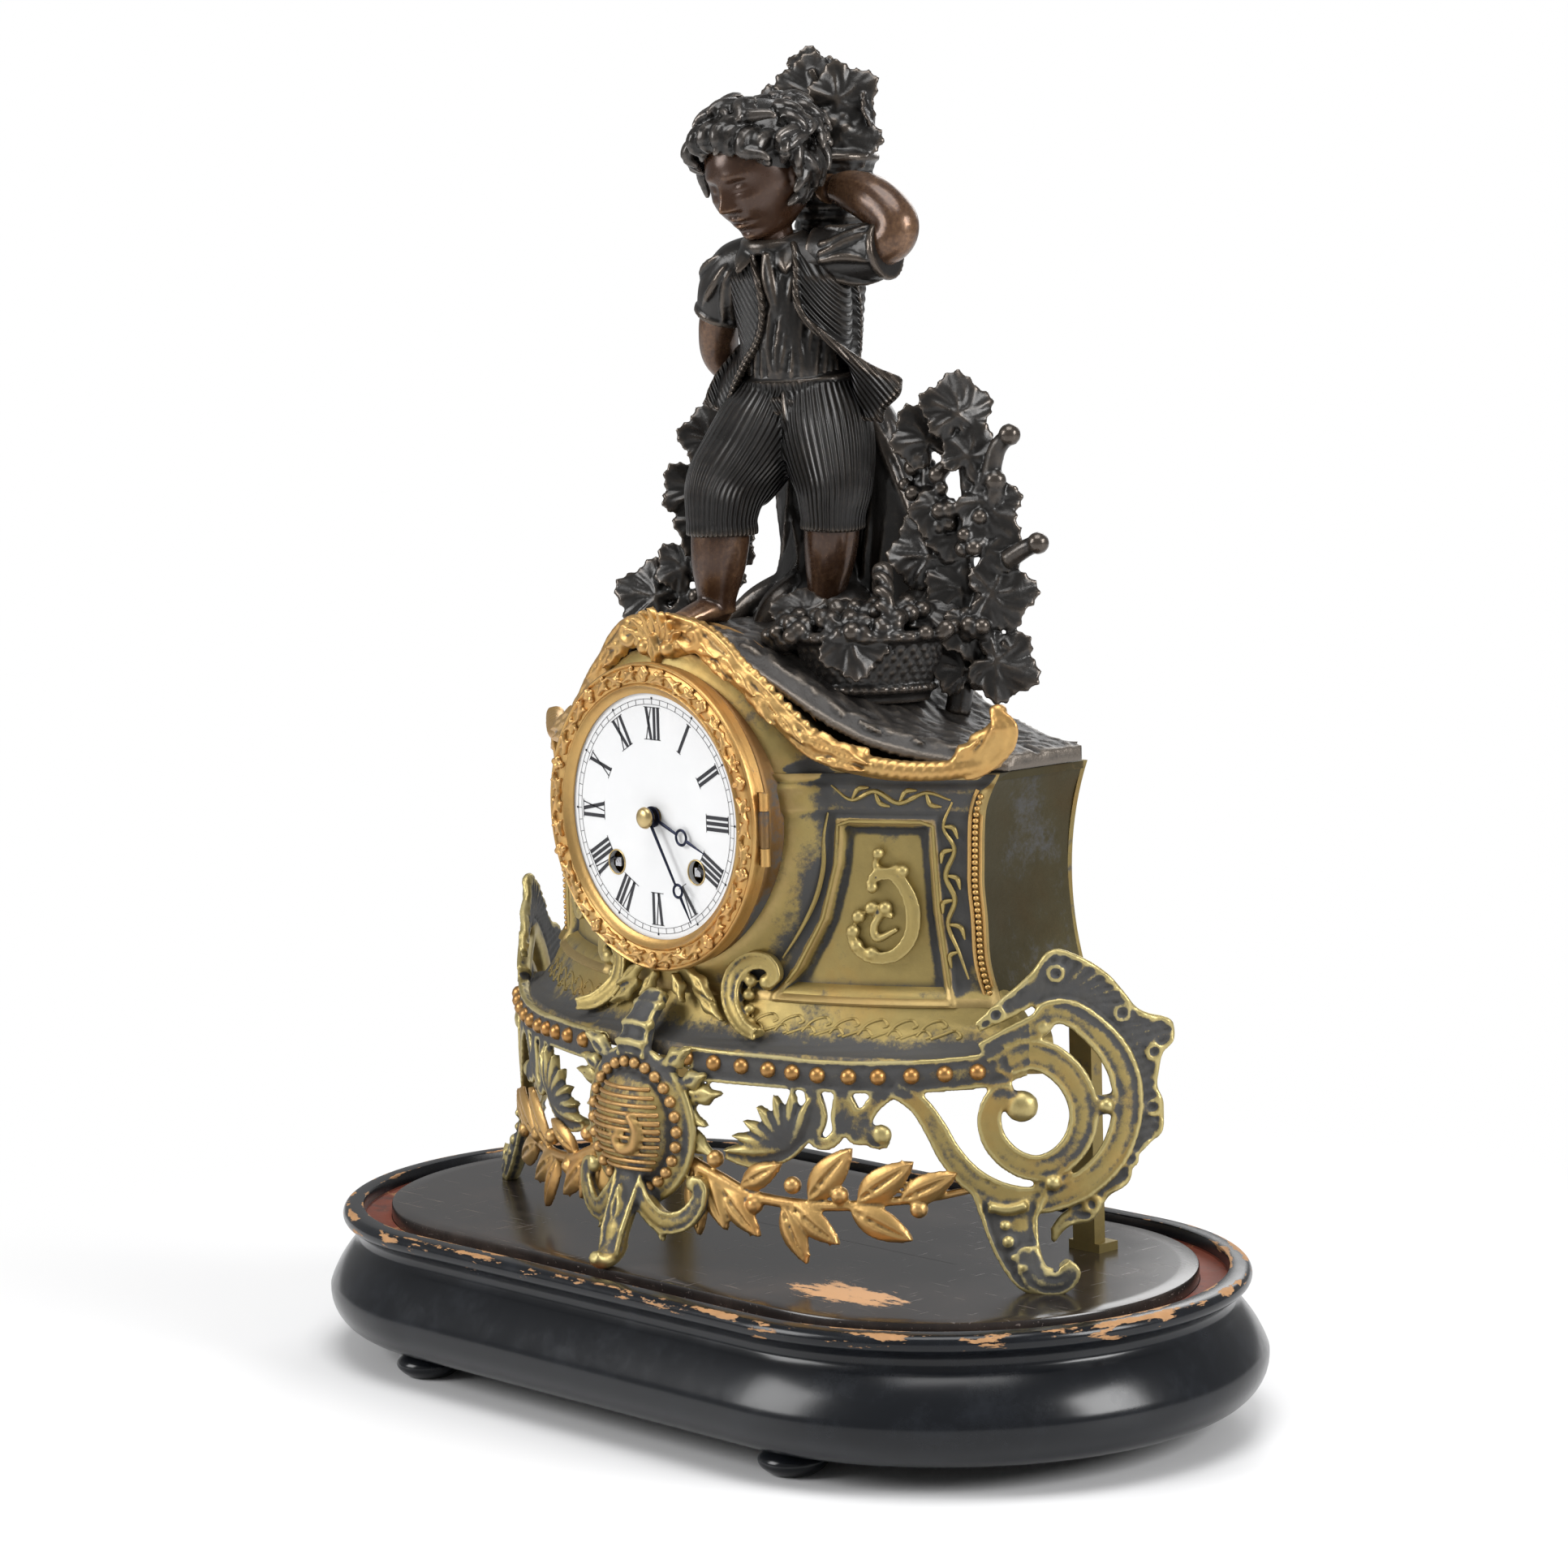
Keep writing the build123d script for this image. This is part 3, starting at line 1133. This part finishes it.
cannon_gear_front = hour_wheel_back + 0.6
cannon_gear_back = cannon_gear_front + 2.2
with BuildPart() as cannon_pinion:
    wheel(CANNON_TEETH, TRAIN_MODULE, centre, cannon_gear_front, cannon_gear_back, minute_place, gap=True)
    rod(centre, cannon_front, front_plate_face - 0.2, CANNON_RADIUS)
    rod(centre, cannon_front, front_plate_face - 0.2, ARBOR_RADIUS, mode=Mode.SUBTRACT)
save(cannon_pinion, "cannon_pinion")

with BuildPart() as minute_wheel:
    wheel(MINUTE_TEETH, TRAIN_MODULE, minute_place, cannon_gear_front + 0.4, cannon_gear_back - 0.6, centre)
    wheel(
        MINUTE_PINION,
        HOUR_MODULE,
        minute_place,
        hour_wheel_back - 1.0,
        cannon_gear_front + 0.5,
        centre,
        gap=True,
    )
    rod(minute_place, dial_back, front_plate_face, MINUTE_STUD_RADIUS + FIT, mode=Mode.SUBTRACT)
save(minute_wheel, "minute_wheel")

with BuildPart() as hand_nut:
    with BuildSketch(front_plane(cannon_front)):
        RegularPolygon(2.2, 6)
        Circle(ARBOR_RADIUS, mode=Mode.SUBTRACT)
    extrude(amount=0.8)
save(hand_nut, "hand_nut")

# Going train

with BuildPart() as centre_wheel:
    rod(centre, arbor_front, back_plate_face, ARBOR_RADIUS)
    wheel(CENTRE_PINION, TRAIN_MODULE, centre, depth(22.0), depth(24.2), second, gap=True)
    wheel(WHEEL_TEETH, TRAIN_MODULE, centre, depth(1.0), depth(2.2), third, spokes=5)
save(centre_wheel, "centre_wheel")

with BuildPart() as second_wheel:
    rod(second, front_plate_face, back_plate_face, ARBOR_RADIUS)
    wheel(SECOND_PINION, TRAIN_MODULE, second, depth(19.2), depth(22.0), going, gap=True)
    wheel(WHEEL_TEETH, TRAIN_MODULE, second, depth(22.5), depth(23.7), centre, spokes=5)
save(second_wheel, "second_wheel")

with BuildPart() as third_wheel:
    rod(third, front_plate_face, back_plate_face, ARBOR_RADIUS)
    wheel(FINE_PINION, TRAIN_MODULE, third, depth(0.7), depth(3.0), centre, gap=True)
    wheel(WHEEL_TEETH, FINE_MODULE, third, depth(8.0), depth(9.0), escape, spokes=5)
save(third_wheel, "third_wheel")

with BuildPart() as escape_wheel:
    rod(escape, front_plate_face, back_plate_face, ARBOR_RADIUS)
    wheel(FINE_PINION, FINE_MODULE, escape, depth(7.5), depth(10.0), third, gap=True)
    pointed_wheel(ESCAPE_TEETH, ESCAPE_RADIUS, 0.83 * ESCAPE_RADIUS, 0.5, escape, depth(20.0), depth(20.8))
    for spoke in range(4):
        with BuildSketch(front_plane(depth(20.8), *escape)):
            with BuildLine():
                window = [polar(0.7 * ESCAPE_RADIUS, 90 * spoke + share) for share in (-30, 30)]
                window += [polar(0.3 * ESCAPE_RADIUS, 90 * spoke + share) for share in (22, -22)]
                Polyline(*window, close=True)
            make_face()
        extrude(amount=0.8, mode=Mode.SUBTRACT)
save(escape_wheel, "escape_wheel")

pallet_inner = ESCAPE_RADIUS + 1.1
with BuildPart() as pallets:
    rod(pallet, front_plate_face, CRUTCH_Y + 0.5, ARBOR_RADIUS)
    with BuildSketch(front_plane(depth(21.2))):
        with Locations(escape):
            Circle(pallet_inner + 1.8)
            Circle(pallet_inner, mode=Mode.SUBTRACT)
        with BuildLine():
            Polyline(escape, polar(30, 48, escape), polar(30, 132, escape), close=True)
        make_face(mode=Mode.INTERSECT)
        with Locations(pallet):
            Circle(2.2)
    extrude(amount=1.6)
    with Locations((0, CRUTCH_Y, dial_z + FORK_RISE)):
        Box(1.6, 1.0, PALLET_RISE - FORK_RISE, align=(Align.CENTER, Align.CENTER, Align.MIN))
    with Locations((0, CRUTCH_Y - 0.5, dial_z + FORK_RISE)):
        Box(5.2, PENDULUM_Y - CRUTCH_Y + 2.5, 3.0, align=(Align.CENTER, Align.MIN, Align.CENTER))
    with Locations((0, PENDULUM_Y - 1.6, dial_z + FORK_RISE)):
        fork_gap = 2 * (ROD_RADIUS + FORK_CLEARANCE)
        Box(fork_gap, 8.0, 3.0, align=(Align.CENTER, Align.MIN, Align.CENTER), mode=Mode.SUBTRACT)
save(pallets, "pallets")

cock_bottom = dial_z + SUSPENSION_RISE - 0.5
with BuildPart() as back_cock:
    with Locations((0, back_plate_face, cock_bottom)):
        Box(14.0, 11.5, 6.5, align=(Align.CENTER, Align.MIN, Align.MIN))
    with Locations((0, PENDULUM_Y, cock_bottom)):
        Box(COCK_SLOT, SUSPENSION_WIDTH + 0.4, 20.0, mode=Mode.SUBTRACT)
save(back_cock, "back_cock")

spring_low = dial_z + SUSPENSION_RISE - 9.0
with BuildPart() as suspension_spring:
    with Locations((0, PENDULUM_Y, spring_low)):
        Box(SUSPENSION_THICKNESS, SUSPENSION_WIDTH, 11.0, align=(Align.CENTER, Align.CENTER, Align.MIN))
save(suspension_spring, "suspension_spring")

bob_z = dial_z + SUSPENSION_RISE - PENDULUM_LENGTH
with BuildPart() as pendulum_rod:
    with Locations((0, PENDULUM_Y, bob_z - BOB_RADIUS - 4.0)):
        Cylinder(
            ROD_RADIUS,
            spring_low - bob_z + BOB_RADIUS + 5.0,
            align=(Align.CENTER, Align.CENTER, Align.MIN),
        )
        Cylinder(2.6, 3.0, align=(Align.CENTER, Align.CENTER, Align.MIN))
    with Locations((0, PENDULUM_Y, spring_low)):
        Box(3.0, 5.0, 4.0, align=(Align.CENTER, Align.CENTER, Align.MIN))
    add(suspension_spring.part, mode=Mode.SUBTRACT)
save(pendulum_rod, "pendulum_rod")

with BuildPart() as pendulum_bob:
    bob_place = (0.0, bob_z - dial_z)
    with BuildSketch(turned_plane(PENDULUM_Y, bob_place, seam_on_top=False)):
        with BuildLine():
            half_bob = BOB_THICKNESS / 2
            ThreePointArc((0, -half_bob), (0.62 * BOB_RADIUS, -0.6 * half_bob), (BOB_RADIUS, 0))
            ThreePointArc((BOB_RADIUS, 0), (0.62 * BOB_RADIUS, 0.6 * half_bob), (0, half_bob))
            Line((0, half_bob), (0, -half_bob))
        make_face()
    revolve(axis=turning_axis(bob_place))
    with Locations((0, PENDULUM_Y, bob_z)):
        Cylinder(ROD_RADIUS, 4 * BOB_RADIUS, mode=Mode.SUBTRACT)
save(pendulum_bob, "pendulum_bob")

# Barrels, springs and winding arbors, one set for each train

drum_front = depth(3.0)
great_front = depth(19.0)
great_back = depth(21.0)
ratchet_front = front_plate_face - 3.2
ratchet_back = ratchet_front + 1.4

for train, place, next_place in (("going", going, second), ("strike", strike, strike_second)):
    with BuildPart() as barrel:
        rod(place, drum_front, great_front, BARREL_RADIUS)
        wheel(BARREL_TEETH, TRAIN_MODULE, place, great_front, great_back, next_place)
        rod(place, drum_front + 1.0, great_front, BARREL_RADIUS - BARREL_WALL, mode=Mode.SUBTRACT)
        rod(place, drum_front, great_back, WIND_ARBOR_RADIUS + FIT, mode=Mode.SUBTRACT)
    save(barrel, f"{train}_barrel")

    spring_inner = WIND_ARBOR_RADIUS + 0.5
    spring_pitch = (BARREL_RADIUS - BARREL_WALL - 0.3 - SPRING_STRIP - spring_inner) / SPRING_TURNS
    steps = [step * 30 for step in range(12 * SPRING_TURNS + 1)]
    inside = [polar(spring_inner + spring_pitch * step / 360, step) for step in steps]
    spring_outer = spring_inner + SPRING_STRIP
    outside = [polar(spring_outer + spring_pitch * step / 360, step) for step in reversed(steps)]
    with BuildPart() as mainspring:
        with BuildSketch(front_plane(great_front - 1.0, *place)):
            with BuildLine():
                Polyline(*inside, *outside, close=True)
            make_face()
        extrude(amount=great_front - drum_front - 3.0)
    save(mainspring, f"{train}_mainspring")

    with BuildPart() as arbor:
        rod(place, ratchet_front - 1.0, back_plate_face, WIND_ARBOR_RADIUS)
        pointed_wheel(20, RATCHET_RADIUS, 0.86 * RATCHET_RADIUS, 0.85, place, ratchet_front, ratchet_back)
        with BuildSketch(front_plane(ratchet_front - 1.0, *place)):
            Rectangle(WIND_SQUARE, WIND_SQUARE)
        extrude(amount=ratchet_front - 1.0 - dial_front - 0.5)
    save(arbor, f"{train}_arbor")

with BuildPart() as clicks:
    for place, side in ((going, 1), (strike, -1)):
        pivot = (place[0] + side * 9.5, place[1] + 3.0)
        tip_angle = 60 if side == 1 else 120
        rod(pivot, ratchet_front, front_plate_face, 1.2)
        with BuildSketch(front_plane(ratchet_back - 0.2)) as pawl:
            with BuildLine():
                nose = polar(RATCHET_RADIUS + 0.5, tip_angle, place)
                Polyline(pivot, (pivot[0], pivot[1] + 2.2), nose, close=True)
            make_face()
            with Locations(pivot):
                Circle(2.0)
        extrude(pawl.sketch, amount=1.0)
save(clicks, "clicks")

# Strike train, hammer and bell

with BuildPart() as strike_second_wheel:
    rod(strike_second, front_plate_face, back_plate_face, ARBOR_RADIUS)
    wheel(SECOND_PINION, TRAIN_MODULE, strike_second, depth(19.2), depth(22.0), strike, gap=True)
    wheel(WHEEL_TEETH, TRAIN_MODULE, strike_second, depth(24.6), depth(25.6), locking, spokes=5)
save(strike_second_wheel, "strike_second_wheel")

with BuildPart() as locking_wheel:
    rod(locking, front_plate_face, back_plate_face, ARBOR_RADIUS)
    wheel(CENTRE_PINION, TRAIN_MODULE, locking, depth(24.3), depth(25.8), strike_second, gap=True)
    wheel(WHEEL_TEETH, FINE_MODULE, locking, depth(14.0), depth(15.2), fly_place, spokes=5)
save(locking_wheel, "locking_wheel")

with BuildPart() as fly:
    rod(fly_place, front_plate_face, back_plate_face, ARBOR_RADIUS)
    wheel(FINE_PINION, FINE_MODULE, fly_place, depth(13.5), depth(15.7), locking, gap=True)
    with Locations((fly_place[0], depth(8.0), dial_z + fly_place[1])):
        Box(2 * FLY_HALF, 8.0, 0.5)
save(fly, "fly")

bell_crown_y = BELL_RIM_Y + BELL_DEPTH
with BuildPart() as bell:
    with BuildSketch(turned_plane(BELL_RIM_Y, bell_place)):
        with BuildLine():
            rim_inner = BELL_RADIUS - BELL_WALL
            crown_inner = BELL_DEPTH - BELL_WALL
            Line((BELL_RADIUS, 0), (rim_inner, 0))
            inner_bend = (0.8 * rim_inner, 0.78 * crown_inner)
            Spline((rim_inner, 0), inner_bend, (BELL_POST_RADIUS, crown_inner), tangents=[(0, 1), (-1, 0)])
            Line((BELL_POST_RADIUS, crown_inner), (BELL_POST_RADIUS, BELL_DEPTH))
            outer_bend = (0.8 * BELL_RADIUS, 0.78 * BELL_DEPTH)
            Spline((BELL_POST_RADIUS, BELL_DEPTH), outer_bend, (BELL_RADIUS, 0), tangents=[(1, 0), (0, -1)])
        make_face()
    revolve(axis=turning_axis(bell_place))
save(bell, "bell")

with BuildPart() as bell_stand:
    rod(bell_place, back_plate_face, back_plate_face + 1.5, 2 * BELL_POST_RADIUS)
    rod(bell_place, back_plate_face, bell_crown_y, BELL_POST_RADIUS)
    rod(bell_place, bell_crown_y, bell_crown_y + 2.0, 1.7 * BELL_POST_RADIUS)
save(bell_stand, "bell_stand")

hammer_y = BELL_RIM_Y + 5.0
head_place = polar(BELL_RADIUS + HAMMER_GAP + HAMMER_HEAD_RADIUS, 135, bell_place)
arm_middle = ((hammer_place[0] + head_place[0]) / 2, (hammer_place[1] + head_place[1]) / 2)
with BuildPart() as hammer:
    rod(hammer_place, front_plate_face, hammer_y + 2.0, ARBOR_RADIUS)
    with BuildSketch(front_plane(hammer_y + 0.8)):
        SlotCenterPoint(arm_middle, hammer_place, HAMMER_ARM)
    extrude(amount=1.6)
    rod(head_place, hammer_y - 3.0, hammer_y + 3.0, HAMMER_HEAD_RADIUS)
save(hammer, "hammer")
